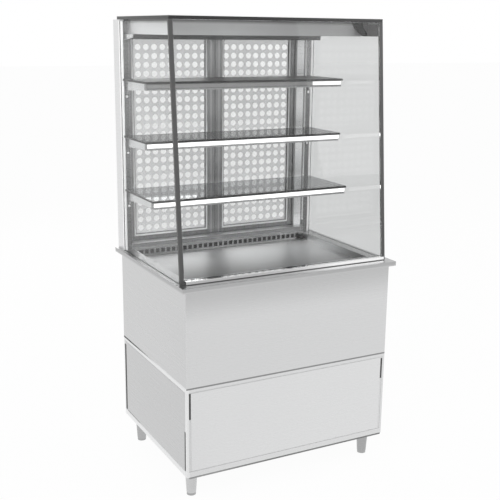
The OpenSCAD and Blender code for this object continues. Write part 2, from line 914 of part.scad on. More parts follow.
// A bow handle on the free stile's back
module door_handle() {
    x0 = door_w - (stile_w + handle_w) / 2;
    bevel = grip_t;
    translate([0, door_t, (door_h - handle_h) / 2]) difference() {
        side_shape(x0, x0 + handle_w, [
            [0, 0], [handle_out - bevel, 0], [handle_out, bevel],
            [handle_out, handle_h - bevel], [handle_out - bevel, handle_h], [0, handle_h]
        ]);
        side_shape(x0 - 1, x0 + handle_w + 1, [
            [-1, grip_t], [handle_out - grip_t - 4, grip_t], [handle_out - grip_t, grip_t + 4],
            [handle_out - grip_t, handle_h - grip_t - 4], [handle_out - grip_t - 4, handle_h - grip_t],
            [-1, handle_h - grip_t]
        ]);
    }
}

module hung_left() { translate([-door_edge, door_y, door_z]) children(); }
module hung_right() { translate([door_edge, door_y, door_z]) mirror([1, 0, 0]) children(); }

module door_left_frame() { color("#9fa2a4") hung_left() door_frame(); }
module door_left_glass() { color("#bfc6c8", 0.8) hung_left() door_glass(); }
module door_left_handle() { color("#5a5d60") hung_left() door_handle(); }
module door_right_frame() { color("#9fa2a4") hung_right() door_frame(); }
module door_right_glass() { color("#bfc6c8", 0.8) hung_right() door_glass(); }
module door_right_handle() { color("#5a5d60") hung_right() door_handle(); }

// Cooling

module compressor() {
    color("#2e3033") translate([comp_x, comp_y, machine_z]) {
        translate([0, 0, 20]) cylinder(r = comp_r, h = comp_h);
        translate([0, 0, 20 + comp_h]) intersection() {
            translate([0, 0, -comp_r]) sphere(r = comp_r * sqrt(2));
            cylinder(r = comp_r, h = comp_r);
        }
        translate([-comp_r - 15, -comp_r - 15, 14]) cube([2 * comp_r + 30, 2 * comp_r + 30, 6 + eps]);
        for (x = [-comp_r, comp_r], y = [-comp_r, comp_r])
            translate([x, y, 0]) cylinder(r = 12, h = 14 + eps);
        for (a = [0, -90])
            rotate([0, 90, a]) translate([machine_z - port_z, 0, comp_r - 5]) cylinder(r = pipe_r + 3, h = port_len + 5);
    }
}

// A finned block, w along X, t along Y, h along Z
module finned_block(w, t, h) {
    count = floor(w / fin_pitch);
    linear_extrude(h) {
        translate([0, (t - core_t) / 2]) square([w, core_t]);
        for (i = [0 : count - 1]) translate([i * (w - fin_t) / (count - 1), 0]) square([fin_t, t]);
    }
}

module condenser_coil() {
    color("#777b7e") translate([cond_x - coil_w / 2, cond_y, machine_z]) finned_block(coil_w, coil_t, coil_h);
}

// A tray in XZ, open towards -Y, with a round opening, a motor on two struts and a shaft
module fan_shroud(w, h, t, r) {
    wall = fan_wall;
    difference() {
        translate([-w / 2, 0, -h / 2]) cube([w, t, h]);
        translate([-w / 2 + wall, -1, -h / 2 + wall]) cube([w - 2 * wall, t + 1 - wall, h - 2 * wall]);
        rotate([-90, 0, 0]) cylinder(r = r + 5, h = t + 2);
    }
    for (a = [45, 135])
        rotate([0, a, 0]) translate([-r - 8, t - 6, -5]) cube([2 * r + 16, 6, 10]);
    translate([0, t - motor_t, 0]) rotate([-90, 0, 0]) cylinder(r = 24, h = motor_t);
    translate([0, 6, 0]) rotate([-90, 0, 0]) cylinder(r = shaft_r, h = t - motor_t);
}

// A fan about Y, with its hub bored for the shaft
module fan(r, d) {
    difference() {
        union() {
            rotate([-90, 0, 0]) cylinder(r = 20, h = d);
            intersection() {
                rotate([-90, 0, 0]) cylinder(r = r, h = d);
                for (i = [0 : blade_count - 1])
                    rotate([0, i * 360 / blade_count, 0]) translate([0, d / 2, 12])
                        rotate([0, 0, 28]) translate([-r * 0.28, -1, 0]) cube([r * 0.56, 2, r]);
            }
        }
        translate([0, -1, 0]) rotate([-90, 0, 0]) cylinder(r = shaft_r + run_clear, h = d + 2);
    }
}

cond_shroud_y = cond_y + coil_t;
cond_fan_z = machine_z + coil_h / 2;
cond_fan_d = shroud_t - motor_t - fan_start - 2;

module condenser_fan_shroud() {
    color("#3b3e41") translate([cond_x, cond_shroud_y, cond_fan_z])
        fan_shroud(coil_w, coil_h, shroud_t, cond_fan_r);
}

module condenser_fan() {
    color("#c8cacc") translate([cond_x, cond_shroud_y + fan_start, cond_fan_z]) fan(cond_fan_r, cond_fan_d);
}

evap_z = tub_z + sheet_t;
evap_shroud_y = evap_y + evap_t;
evap_fan_z = evap_z + evap_h / 2;
evap_fan_d = evap_shroud_t - motor_t - fan_start - 2;

module evaporator_coil() {
    color("#a7abae") translate([-evap_w / 2, evap_y, evap_z]) finned_block(evap_w, evap_t, evap_h);
}

module evaporator_fan_shroud() {
    color("#8d9194") translate([evap_fan_x, evap_shroud_y, evap_fan_z])
        fan_shroud(evap_w, evap_h, evap_shroud_t, evap_fan_r);
}

module evaporator_fan() {
    color("#d5d7d9") translate([evap_fan_x, evap_shroud_y + fan_start, evap_fan_z]) fan(evap_fan_r, evap_fan_d);
}

// Lines from the compressor to the condenser, and through the foam to the evaporator
module refrigerant_lines() {
    hot_x = comp_x + comp_r + port_len + 30;
    hot_y = cond_y + coil_t / 2;
    cold_y = comp_y - comp_r - port_len - 30;
    under_z = foam_z - 30;
    back_line_y = evap_y + evap_t * 0.7;
    front_line_y = evap_y + evap_t * 0.3;
    coil_end = evap_w / 2 + clear;
    color("#b87333") {
        pipe_run([
            [comp_x + comp_r + port_len + clear, comp_y, port_z], [hot_x, comp_y, port_z],
            [hot_x, hot_y, port_z], [cond_x - coil_w / 2 - clear, hot_y, port_z]
        ]);
        pipe_run([
            [comp_x, comp_y - comp_r - port_len - clear, port_z], [comp_x, cold_y, port_z],
            [comp_x, cold_y, under_z], [comp_x, front_line_y, under_z],
            [riser_x, front_line_y, under_z], [riser_x, front_line_y, evap_z + evap_h * 0.7],
            [coil_end, front_line_y, evap_z + evap_h * 0.7]
        ]);
        pipe_run([
            [liquid_x, hot_y, machine_z + coil_h + clear], [liquid_x, hot_y, under_z],
            [liquid_x, back_line_y, under_z], [riser_x, back_line_y, under_z],
            [riser_x, back_line_y, evap_z + evap_h * 0.3], [coil_end, back_line_y, evap_z + evap_h * 0.3]
        ]);
    }
}

// Controls

module rocker_hole(x) {
    box(x - rocker_w / 2 - rocker_clear, x + rocker_w / 2 + rocker_clear, body_back - 1, body_back + plate_t + 1,
        plate_z - rocker_r - rocker_clear, plate_z + rocker_r + rocker_clear);
}

module control_plate() {
    color("#cdd0d2") difference() {
        box(plate_x - plate_w / 2, plate_x + plate_w / 2, body_back, body_back + plate_t,
            plate_z - plate_h / 2, plate_z + plate_h / 2);
        rod_y(knob_x, body_back - 1, body_back + plate_t + 1, plate_z, shaft_r + run_clear);
        rocker_hole(power_x);
        rocker_hole(light_x);
    }
}

module thermostat_knob() {
    y0 = body_back + plate_t + clear;
    color("#303234") {
        difference() {
            rod_y(knob_x, y0, y0 + knob_d, plate_z, knob_r);
            box(knob_x - 1, knob_x + 1, y0 + knob_d - 1, y0 + knob_d + 1, plate_z + knob_r - 9, plate_z + knob_r + 1);
        }
        rod_y(knob_x, body_back - 6, y0 + eps, plate_z, shaft_r);
    }
}

// A rocker about X: a round section cut by two flats that meet in a shallow V
module rocker(x) {
    y = body_back + plate_t / 2;
    low = plate_t / 2 + 1;
    intersection() {
        translate([x - rocker_w / 2, y, plate_z]) rotate([0, 90, 0]) cylinder(r = rocker_r, h = rocker_w);
        side_shape(x - rocker_w / 2, x + rocker_w / 2, [
            [y - 7, plate_z - rocker_r], [y - 7, plate_z + rocker_r], [y + low, plate_z + rocker_r],
            [y + low + 1.5, plate_z], [y + low + 6.5, plate_z - rocker_r]
        ]);
    }
}

module power_switch() { color("#26282a") rocker(power_x); }
module light_switch() { color("#26282a") rocker(light_x); }

module cable_gland() {
    color("#3a3c3e") difference() {
        union() {
            rod_y(gland_x, body_back, body_back + 6, plate_z, gland_r * 1.25);
            rod_y(gland_x, body_back, body_back + 18, plate_z, gland_r);
            rod_y(gland_x, body_back - 12, body_back + eps, plate_z, gland_r * 0.7 - clear / 2);
        }
        rod_y(gland_x, body_back - 20, body_back + 30, plate_z, gland_bore_r);
    }
}

legs();
foot_front_left();
foot_front_right();
foot_rear_left();
foot_rear_right();
lower_frame();
floor_plate();
lower_panel_front();
lower_panel_left();
lower_panel_right();
rear_vent_panel();
upper_panel_front();
upper_panel_left();
upper_panel_right();
upper_panel_rear();
tub_insulation();
tub_liner();
display_pan();
rear_air_grille();
worktop();
front_rail();
rear_post_left();
rear_post_right();
side_glass_left();
side_glass_right();
front_glass();
roof_glass();
glass_seals();
canopy_shell();
canopy_lamp();
shelf_brackets();
panhead_screws();
shelf_upper();
shelf_middle();
shelf_lower();
light_housings();
light_diffuser_upper();
light_diffuser_middle();
light_diffuser_lower();
rear_frame_bars();
door_hinges();
door_left_frame();
door_left_glass();
door_left_handle();
door_right_frame();
door_right_glass();
door_right_handle();
compressor();
condenser_coil();
condenser_fan_shroud();
condenser_fan();
refrigerant_lines();
evaporator_coil();
evaporator_fan_shroud();
evaporator_fan();
control_plate();
thermostat_knob();
power_switch();
light_switch();
cable_gland();
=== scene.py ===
"""Looks of the refrigerated display case: finishes, fine pieces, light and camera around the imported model.

Places and lengths are in metres, or in millimetres where they are multiplied by MM.
"""

import json
import math

import bmesh
import bpy
from mathutils import Matrix, Vector


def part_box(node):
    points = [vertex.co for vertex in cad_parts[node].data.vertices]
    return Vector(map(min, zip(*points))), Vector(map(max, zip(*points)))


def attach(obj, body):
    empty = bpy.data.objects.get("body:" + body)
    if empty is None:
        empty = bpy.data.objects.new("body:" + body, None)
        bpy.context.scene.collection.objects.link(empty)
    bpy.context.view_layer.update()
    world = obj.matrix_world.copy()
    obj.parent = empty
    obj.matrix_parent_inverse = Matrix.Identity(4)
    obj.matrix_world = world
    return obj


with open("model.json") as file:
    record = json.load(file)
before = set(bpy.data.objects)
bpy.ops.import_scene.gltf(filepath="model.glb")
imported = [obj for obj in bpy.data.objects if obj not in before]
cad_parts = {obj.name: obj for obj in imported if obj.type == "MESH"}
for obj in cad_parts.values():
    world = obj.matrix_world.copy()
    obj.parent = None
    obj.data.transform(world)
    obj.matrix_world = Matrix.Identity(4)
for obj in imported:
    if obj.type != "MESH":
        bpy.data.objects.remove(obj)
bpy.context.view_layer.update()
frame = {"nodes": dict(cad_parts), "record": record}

MM = 0.001

# The camera, solved from the straight edges of the case. Its lens and sensor are in millimetres
CAMERA_PLACE = (-1.6847, -3.1832, 1.7636)
CAMERA_YAW = math.radians(-27.9355)
CAMERA_PITCH = math.radians(-13.8716)
CAMERA_ROLL = math.radians(0.6441)
CAMERA_LENS = 63.937
CAMERA_SENSOR = 36.0
CAMERA_REACH = 200

# The floor and the world
FLOOR_HALF = 40.0
FLOOR_DROP = 0.3 * MM
FLOOR_TONE = (0.95, 0.95, 0.95, 1)
FLOOR_WHITE = 0.955
WORLD_TONE = (1, 1, 1, 1)
AMBIENT = 0.62

# Each lamp's place, aim, width and power
LAMPS = {
    "key": ((-3.2, -2.6, 3.6), (0, 0, 0.9), 2.6, 60),
    "fill": ((3.4, -3.0, 2.6), (0, 0, 0.9), 3.0, 35),
    "back": ((0.5, 4.2, 3.2), (0, 0, 1.0), 2.6, 40),
}

# The noise texture's usual range
NOISE_LOW = 0.3
NOISE_HIGH = 0.7

# A face looks along an axis when its normal's part along it is over this
FACING = 0.6

# Brush strokes: noise per metre along X, Y and Z, slow along a stroke and fast across it
LEVEL_STROKES = (1.5, 1.5, 900)
SIDEWAYS_STROKES = (1.5, 900, 1.5)
UPRIGHT_STROKES = (900, 900, 1.5)


def camera():
    """A camera at the photograph's viewing angle."""
    yaw, pitch, roll = CAMERA_YAW, CAMERA_PITCH, CAMERA_ROLL
    ahead = Vector((-math.sin(yaw) * math.cos(pitch), math.cos(yaw) * math.cos(pitch), math.sin(pitch)))
    level = Vector((math.cos(yaw), math.sin(yaw), 0))
    upright = level.cross(ahead)
    right = math.cos(roll) * level + math.sin(roll) * upright
    up = math.cos(roll) * upright - math.sin(roll) * level
    turn = Matrix((right, up, -ahead)).transposed().to_4x4()
    data = bpy.data.cameras.new("camera")
    data.lens = CAMERA_LENS
    data.sensor_width = CAMERA_SENSOR
    data.clip_end = CAMERA_REACH
    eye = bpy.data.objects.new("camera", data)
    bpy.context.scene.collection.objects.link(eye)
    eye.matrix_world = Matrix.Translation(CAMERA_PLACE) @ turn
    bpy.context.scene.camera = eye


# Node helpers


class Finish:
    """A node material with one Principled shader, and short calls for the textures that drive it."""

    def __init__(self, name):
        self.material = bpy.data.materials.new(name)
        self.material.use_nodes = True
        self.tree = self.material.node_tree
        self.tree.nodes.clear()
        self.out = self.add("ShaderNodeOutputMaterial")
        self.shader = self.add("ShaderNodeBsdfPrincipled")
        self.feed(self.shader.outputs[0], self.out.inputs[0])

    def add(self, kind):
        return self.tree.nodes.new(kind)

    def feed(self, value, socket):
        """A socket takes the output of another node, a colour of three numbers, or a number."""
        if isinstance(value, bpy.types.NodeSocket):
            self.tree.links.new(value, socket)
        elif isinstance(value, tuple):
            socket.default_value = (*value, 1)
        else:
            socket.default_value = value

    def set(self, **values):
        """Plain values for the Principled shader, with _ for each space in a socket's name."""
        for key, value in values.items():
            self.shader.inputs[key.replace("_", " ")].default_value = value

    def place(self, stretch=(1, 1, 1)):
        """The place on the object, multiplied along each axis."""
        coords = self.add("ShaderNodeTexCoord")
        mapping = self.add("ShaderNodeMapping")
        mapping.inputs["Scale"].default_value = stretch
        self.feed(coords.outputs["Object"], mapping.inputs["Vector"])
        return mapping.outputs["Vector"]

    def noise(self, waves, detail):
        """Noise with so many waves per metre, on all the axes alike or along X, Y and Z."""
        node = self.add("ShaderNodeTexNoise")
        node.inputs["Scale"].default_value = 1.0
        node.inputs["Detail"].default_value = detail
        stretch = waves if isinstance(waves, tuple) else (waves, waves, waves)
        self.feed(self.place(stretch), node.inputs["Vector"])
        return node.outputs["Fac"]

    def cells(self, scale):
        """A Voronoi texture node with small cells."""
        node = self.add("ShaderNodeTexVoronoi")
        node.inputs["Scale"].default_value = scale
        self.feed(self.place(), node.inputs["Vector"])
        return node

    def axis(self, name):
        """The place along one axis."""
        split = self.add("ShaderNodeSeparateXYZ")
        self.feed(self.place(), split.inputs[0])
        return split.outputs[name]

    def facing(self, axis, way):
        """1 on faces that look along an axis of the object, or against it for way -1, else 0."""
        coords = self.add("ShaderNodeTexCoord")
        split = self.add("ShaderNodeSeparateXYZ")
        self.feed(coords.outputs["Normal"], split.inputs[0])
        return self.maths("GREATER_THAN", self.maths("MULTIPLY", split.outputs[axis], way), FACING)

    def within(self, axis, low, high):
        """1 between two places along an axis, else 0."""
        over = self.maths("GREATER_THAN", self.axis(axis), low)
        return self.maths("MULTIPLY", over, self.maths("LESS_THAN", self.axis(axis), high))

    def span(self, source, low, high, to_low, to_high, smooth=False):
        """A value's range from low to high, carried over to another range."""
        node = self.add("ShaderNodeMapRange")
        node.interpolation_type = "SMOOTHSTEP" if smooth else "LINEAR"
        for key, value in zip(("From Min", "From Max", "To Min", "To Max"), (low, high, to_low, to_high)):
            node.inputs[key].default_value = value
        self.feed(source, node.inputs["Value"])
        return node.outputs["Result"]

    def spread(self, noise, low, high):
        """Noise spread between two values."""
        return self.span(noise, NOISE_LOW, NOISE_HIGH, low, high)

    def maths(self, operation, a, b):
        node = self.add("ShaderNodeMath")
        node.operation = operation
        self.feed(a, node.inputs[0])
        self.feed(b, node.inputs[1])
        return node.outputs[0]

    def mix(self, operation, factor, a, b):
        """Two colours put together by a mixing operation."""
        node = self.add("ShaderNodeMix")
        node.data_type = "RGBA"
        node.blend_type = operation
        colours = [socket for socket in node.inputs if socket.type == "RGBA"]
        for socket, value in zip((node.inputs["Factor"], *colours), (factor, a, b)):
            self.feed(value, socket)
        return next(socket for socket in node.outputs if socket.type == "RGBA")

    def times(self, colour, factor):
        """A colour multiplied by a value."""
        return self.mix("MULTIPLY", 1, colour, factor)

    def mottle(self, noise, a, b):
        """A colour that wanders between two others."""
        return self.mix("MIX", self.spread(noise, 0, 1), a, b)

    def colour(self, source):
        self.feed(source, self.shader.inputs["Base Color"])

    def roughness(self, source):
        self.feed(source, self.shader.inputs["Roughness"])

    def bump(self, height, strength, distance):
        node = self.add("ShaderNodeBump")
        node.inputs["Strength"].default_value = strength
        node.inputs["Distance"].default_value = distance
        self.feed(height, node.inputs["Height"])
        self.feed(node.outputs["Normal"], self.shader.inputs["Normal"])

    def clear_to_lamps(self, tint):
        """Shadow rays pass, so that the lamps light what stands behind the glass."""
        path = self.add("ShaderNodeLightPath")
        clear = self.add("ShaderNodeBsdfTransparent")
        clear.inputs["Color"].default_value = (*tint, 1)
        mix = self.add("ShaderNodeMixShader")
        self.feed(path.outputs["Is Shadow Ray"], mix.inputs[0])
        self.feed(self.shader.outputs[0], mix.inputs[1])
        self.feed(clear.outputs[0], mix.inputs[2])
        self.feed(mix.outputs[0], self.out.inputs[0])


def grey(level, warmth=0.0):
    """A neutral colour in linear light, a little warmer or cooler."""
    return (level * (1 + warmth), level, level * (1 - warmth))


# Masks are 1 in places and 0 elsewhere. Touches are multipliers that change a finish's tone in places; most
# of them paint light and shade.
# Both are functions that build their nodes in a Finish


def facing(axis, way):
    return lambda f: f.facing(axis, way)


def within(axis, low, high):
    return lambda f: f.within(axis, low, high)


def both(a, b):
    return lambda f: f.maths("MULTIPLY", a(f), b(f))


def only(mask, factor):
    """A touch that is the factor, a number or another touch, where the mask is 1, and 1 elsewhere."""
    def touch(f):
        change = f.maths("SUBTRACT", factor(f) if callable(factor) else factor, 1)
        return f.maths("ADD", f.maths("MULTIPLY", mask(f), change), 1)
    return touch


def ramp(axis, low, high, to_low, to_high):
    """A touch that changes smoothly along an axis."""
    return lambda f: f.span(f.axis(axis), low, high, to_low, to_high, True)


def touched(f, base, touches):
    for touch in touches:
        base = f.times(base, touch(f))
    return base


# Kinds of finish


def brushed(name, level, rough=0.3, strokes=LEVEL_STROKES, tone=0.015, touches=(), shiny=None):
    """Brushed metal: fine streaks in colour, gloss and height, faint cloudy wear, and touches that paint
    light and shade into the tone in places. The shiny mask marks faces with a mirror finish."""
    f = Finish(name)
    coolness = -0.004
    streak = f.noise(strokes, 4)
    cloud = f.noise(2.2, 2)
    mixed = f.maths("ADD", f.maths("MULTIPLY", streak, 0.6), f.maths("MULTIPLY", cloud, 0.4))
    base = f.mottle(mixed, grey(level * (1 - tone), coolness), grey(level * (1 + tone), coolness))
    f.colour(touched(f, base, touches))
    gloss = f.spread(streak, rough * 0.85, rough * 1.15)
    if shiny:
        gloss = f.maths("MULTIPLY", gloss, only(shiny, 0.25)(f))
    f.roughness(gloss)
    f.bump(streak, 0.03, 0.03 * MM)
    f.set(Metallic=1.0)
    return f.material


def polished(name, level, rough=0.08):
    """Polished metal with faint hairlines and rub marks."""
    f = Finish(name)
    hairlines = f.noise((2, 2, 500), 3)
    f.colour(f.mottle(hairlines, grey(level * 0.95), grey(level)))
    f.roughness(f.spread(f.noise(9, 2), rough * 0.6, rough * 1.5))
    f.set(Metallic=1.0)
    return f.material


def glass(name, tint, smear=0.006, ior=1.45, touches=()):
    """Clear glass with a faint smear of fingermarks."""
    f = Finish(name)
    cloud = f.noise(5, 3)
    deep = tuple(part * 0.985 for part in tint)
    f.colour(touched(f, f.mottle(cloud, deep, tint), touches))
    f.roughness(f.span(cloud, 0.45, 0.75, 0.0, smear))
    f.set(Transmission_Weight=1.0, IOR=ior)
    f.clear_to_lamps(tint)
    return f.material


def frit(name, level, alpha):
    """The thin grey print on the doors' glass, which lets some light through."""
    f = Finish(name)
    coolness = -0.004
    f.colour(f.mottle(f.noise(4, 3), grey(level * 0.96, coolness), grey(level * 1.04, coolness)))
    f.roughness(f.spread(f.noise(30, 2), 0.35, 0.45))
    f.set(Alpha=alpha)
    return f.material


def smoked(name, level, alpha):
    """A dark film, which lets a little through if alpha is under 1, and has no mirror sheen."""
    f = Finish(name)
    cloud = f.noise(6, 3)
    f.colour(f.mottle(cloud, grey(level * 0.92), grey(level * 1.08)))
    f.roughness(f.spread(cloud, 0.3, 0.4))
    f.set(Alpha=alpha, Specular_IOR_Level=0.05)
    return f.material


def plastic(name, level, rough=0.45, relief=0.12, glow=0.0):
    """Moulded plastic, sealant or paint with a fine eroded grain. The glow stands for a highlight on it."""
    f = Finish(name)
    grain = f.noise(420, 3)
    f.colour(f.mottle(f.noise(8, 2), grey(level * 0.92), grey(level * 1.08)))
    f.roughness(f.spread(grain, rough * 0.85, rough * 1.15))
    f.bump(grain, relief, 0.1 * MM)
    f.set(Emission_Strength=glow)
    return f.material


def spangled(name, level):
    """Galvanised sheet with crystal spangle."""
    f = Finish(name)
    split = f.add("ShaderNodeSeparateColor")
    f.feed(f.cells(90).outputs["Color"], split.inputs[0])
    coolness = -0.01
    f.colour(f.mix("MIX", split.outputs[0], grey(level * 0.85, coolness), grey(level * 1.1, coolness)))
    f.roughness(f.span(split.outputs[1], 0, 1, 0.32, 0.48))
    f.set(Metallic=0.9)
    return f.material


def foamed(name, level):
    """Yellowish polyurethane foam with fine cells."""
    f = Finish(name)
    dark = (level, level * 0.9, level * 0.62)
    light = (level * 1.06, level * 0.97, level * 0.72)
    f.colour(f.mottle(f.noise(12, 3), dark, light))
    f.bump(f.cells(700).outputs["Distance"], 0.5, 0.4 * MM)
    f.set(Roughness=0.9)
    return f.material


def coppery(name):
    """Drawn copper, darker where it was brazed and handled."""
    f = Finish(name)
    cloud = f.noise(14, 4)
    f.colour(f.mix("MIX", f.span(cloud, 0.35, 0.7, 0, 1), (0.55, 0.26, 0.14), (0.78, 0.43, 0.27)))
    f.roughness(f.spread(cloud, 0.2, 0.4))
    f.set(Metallic=1.0)
    return f.material


def diffuser(name, node, level, lit_from=-1.0):
    """An opal light strip, lit along its middle. Left of lit_from, a place along X, it stays dim."""
    low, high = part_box(node)
    fade = 4 * MM
    f = Finish(name)
    band = f.within("Z", low.z + 3.4 * MM, high.z - 0.5 * MM)
    base = f.mottle(f.noise(300, 2), grey(level * 0.97), grey(level))
    # Outside the lit band the strip's colour is darkened: painted shade on its edges.
    f.colour(f.times(base, f.span(band, 0, 1, 0.55, 1)))
    f.set(Roughness=0.5, Emission_Color=(1.0, 1.0, 0.985, 1))
    glow = f.span(f.axis("X"), lit_from - fade, lit_from + fade, 0.0, 1.0)
    f.feed(f.maths("MULTIPLY", glow, band), f.shader.inputs["Emission Strength"])
    return f.material


# Touches of single parts, and the finishes that have them


def leg_touches():
    """The legs away from the key lamp look darker."""
    front_right = both(within("X", 0, 1), within("Y", -1, 0))
    rear_left = both(within("X", -1, 0), within("Y", 0, 1))
    return only(front_right, 0.68), only(rear_left, 0.74)


def pan_touches():
    """Painted light and shade: the pan is lighter towards the back and the right."""
    low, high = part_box("display_pan")
    return (ramp("Y", low.y - 7.8 * MM, high.y - 76.2 * MM, 0.48, 1.68),
            ramp("X", low.x + 26.7 * MM, 50 * MM, 0.58, 1.0))


def canopy_touches():
    """Painted shade: the canopy's front is darker than its sides and darkens to the right, and its top is in
    shade.
    """
    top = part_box("canopy_shell")[1].z
    front = only(facing("Y", -1), ramp("X", -0.25, 0.25, 0.465, 0.305))
    return front, ramp("Z", top - 16.7 * MM, top - 0.7 * MM, 1.0, 0.3)


def bar_touches():
    """Painted shade: the sill and the header are darker in front."""
    return (only(facing("Y", -1), 0.28),)


def door_glass_touches():
    """Painted shade: the doors' glass is a little darker low down."""
    low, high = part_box("door_right_glass")
    return (ramp("Z", low.z - 0.3 * MM, high.z - 13.7 * MM, 0.93, 1.0),)


def worktop_touches():
    """Painted light and shade: the worktop is lightest at its lower edge and darker above it, and light again
    in the strip behind the pan.
    """
    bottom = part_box("worktop")[0].z
    low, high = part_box("display_pan")
    beside = 3.3 * MM
    strip = both(within("Y", high.y - 76.2 * MM, 1), within("X", low.x - beside, high.x + beside))
    return ramp("Z", bottom + 1 * MM, bottom + 8 * MM, 1.0, 0.80), only(strip, 2.1)


def upper_front_touches():
    """Painted shade: the upper front panel darkens under the worktop."""
    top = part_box("upper_panel_front")[1].z
    return (ramp("Z", top - 145 * MM, top - 5 * MM, 1.0, 0.78),)


def frame_touches():
    """Painted shade: the lower frame is a little darker in front, apart from its left upright."""
    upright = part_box("lower_frame")[0].x + 12 * MM
    return (only(both(facing("Y", -1), within("X", upright, 1)), 0.88),)


def post_finish(name, inner_way):
    """A post has a strip of painted shade in front and a polished inner side lightened by a painted
    reflection, and is bright beside the glass.
    """
    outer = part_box("rear_post_right")[1].x
    strip = within("X", *sorted(-inner_way * (outer - inset) for inset in (18.5 * MM, 39.5 * MM)))
    inner_side = facing("X", inner_way)
    touches = (only(both(facing("Y", -1), strip), 0.28), only(inner_side, 1.35))
    return brushed(name, 0.75, touches=touches, shiny=inner_side)


def door_finish(name, way):
    """A door frame's bead is lightened by a painted highlight, its bottom rail is darkened by painted shade,
    and a painted highlight line runs up its inner stile.
    """
    low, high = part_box("door_right_frame")
    front = facing("Y", -1)
    bead = within("Y", low.y + 2.5 * MM, high.y - 2.5 * MM)
    rail = within("Z", 0, low.z + 31 * MM)
    line = within("X", *sorted(way * (low.x + inset) for inset in (14.5 * MM, 20.5 * MM)))
    touches = (only(both(front, bead), 2.9), only(both(rail, front), 0.8), only(line, 1.5))
    return brushed(name, 0.26, strokes=UPRIGHT_STROKES, touches=touches)


# The finish of each material slot
FINISHES = {
    "stainless_satin": lambda n: brushed(n, 0.70),
    "stainless_leg": lambda n: brushed(n, 0.60, rough=0.28, touches=leg_touches()),
    "stainless_foot": lambda n: brushed(n, 0.42, rough=0.35),
    "galvanised_steel": lambda n: spangled(n, 0.55),
    "foam": lambda n: foamed(n, 0.8),
    "stainless_pan": lambda n: brushed(n, 0.62, rough=0.4, strokes=SIDEWAYS_STROKES, touches=pan_touches()),
    "stainless_dark": lambda n: brushed(n, 0.30),
    "stainless_polished": lambda n: polished(n, 0.86),
    "clear_glass": lambda n: glass(n, (0.955, 0.96, 0.96), ior=1.3),
    "black_seal": lambda n: plastic(n, 0.075, rough=0.4),
    "canopy_steel": lambda n: brushed(n, 0.84, rough=0.45, tone=0.012, touches=canopy_touches()),
    "lamp_dark": lambda n: brushed(n, 0.10, rough=0.35),
    "bracket_steel": lambda n: brushed(n, 0.74),
    "screw_steel": lambda n: polished(n, 0.82, rough=0.15),
    "tinted_glass": lambda n: glass(n, (0.24, 0.25, 0.255), smear=0.01),
    "light_housing": lambda n: brushed(n, 0.34, rough=0.4),
    "bar_steel": lambda n: brushed(n, 0.93, rough=0.35, touches=bar_touches()),
    "hinge_steel": lambda n: brushed(n, 0.45),
    "door_glass": lambda n: glass(n, (0.87, 0.875, 0.875), smear=0.004, touches=door_glass_touches()),
    "handle_plastic": lambda n: plastic(n, 0.03),
    "compressor_black": lambda n: plastic(n, 0.012, rough=0.35),
    "coil_aluminium": lambda n: brushed(n, 0.5, rough=0.4),
    "shroud_steel": lambda n: plastic(n, 0.05, rough=0.4),
    "fan_plastic": lambda n: plastic(n, 0.5, rough=0.4),
    "copper": coppery,
    "knob_plastic": lambda n: plastic(n, 0.02, rough=0.35),
    "switch_plastic": lambda n: plastic(n, 0.015, rough=0.2, relief=0.04),
    "gland_plastic": lambda n: plastic(n, 0.03, rough=0.5),
}

# Nodes with a finish of their own in place of their slot's
OWN_FINISHES = {
    # The worktop, the panels and the lower frame are one brushed steel at a different level on each: painted
    # light and shade, lighter in front than on the left side.
    "worktop": lambda n: brushed(n, 0.55, touches=worktop_touches()),
    "upper_panel_front": lambda n: brushed(n, 0.68, touches=upper_front_touches()),
    "upper_panel_left": lambda n: brushed(n, 0.61),
    "lower_panel_front": lambda n: brushed(n, 0.74),
    "lower_panel_left": lambda n: brushed(n, 0.575),
    "lower_frame": lambda n: brushed(n, 0.82, touches=frame_touches()),
    "side_glass_left": lambda n: glass(n, (0.955, 0.96, 0.96), ior=1.12),
    # The right pane's much darker tint than the left one's is painted shade.
    "side_glass_right": lambda n: glass(n, (0.68, 0.685, 0.685), ior=1.3),
    "shelf_upper": lambda n: smoked(n, 0.14, 0.92),
    "shelf_middle": lambda n: glass(n, (0.04, 0.045, 0.045), smear=0.01, ior=1.16),
    "rear_post_left": lambda n: post_finish(n, 1),
    "rear_post_right": lambda n: post_finish(n, -1),
    "door_left_frame": lambda n: door_finish(n, -1),
    "door_right_frame": lambda n: door_finish(n, 1),
    # The upper strip is a darker copy of the same opal: painted shade.
    "light_diffuser_upper": lambda n: diffuser(n, "light_diffuser_upper", 0.27, lit_from=0.295),
    "light_diffuser_middle": lambda n: diffuser(n, "light_diffuser_middle", 0.8),
    "light_diffuser_lower": lambda n: diffuser(n, "light_diffuser_lower", 0.8),
}

materials = {slot: build(slot) for slot, build in FINISHES.items()}

# Finishes of the fine pieces
# Painted light and shade on the left side of the split: light towards the front and dark towards the back.
SPLIT_SHADE_TOUCHES = (only(facing("X", -1), ramp("Y", -0.1, 0.22, 2.7, 0.04)),)
print_finish = frit("glass_print", 0.80, 0.32)
split_shade_finish = brushed("split_gap_shade", 0.30, rough=0.5, touches=SPLIT_SHADE_TOUCHES)
# Light beads that glow a little: a painted highlight.
bead_highlight_finish = plastic("lit_bead", 0.88, rough=0.3, glow=0.24)
# Light door trim that glows a little: a painted highlight.
trim_highlight_finish = plastic("door_lit_trim", 0.8, rough=0.3, glow=0.16)
# Painted shade under the front of the body, lighter towards the left.
underside_shade_finish = brushed("dark_edge", 0.24, rough=0.5, touches=(ramp("X", -0.40, -0.1, 1.5, 1.0),))
# Dark patches of painted shade at the canopy's right end.
shade_patch_finish = smoked("canopy_shade_patch", 0.012, 1.0)
side_shade_finish = smoked("canopy_shade_plate", 0.085, 1.0)
# Dark strips in the panel gaps: painted shade.
gap_finish = smoked("dark_gap", 0.09, 1.0)
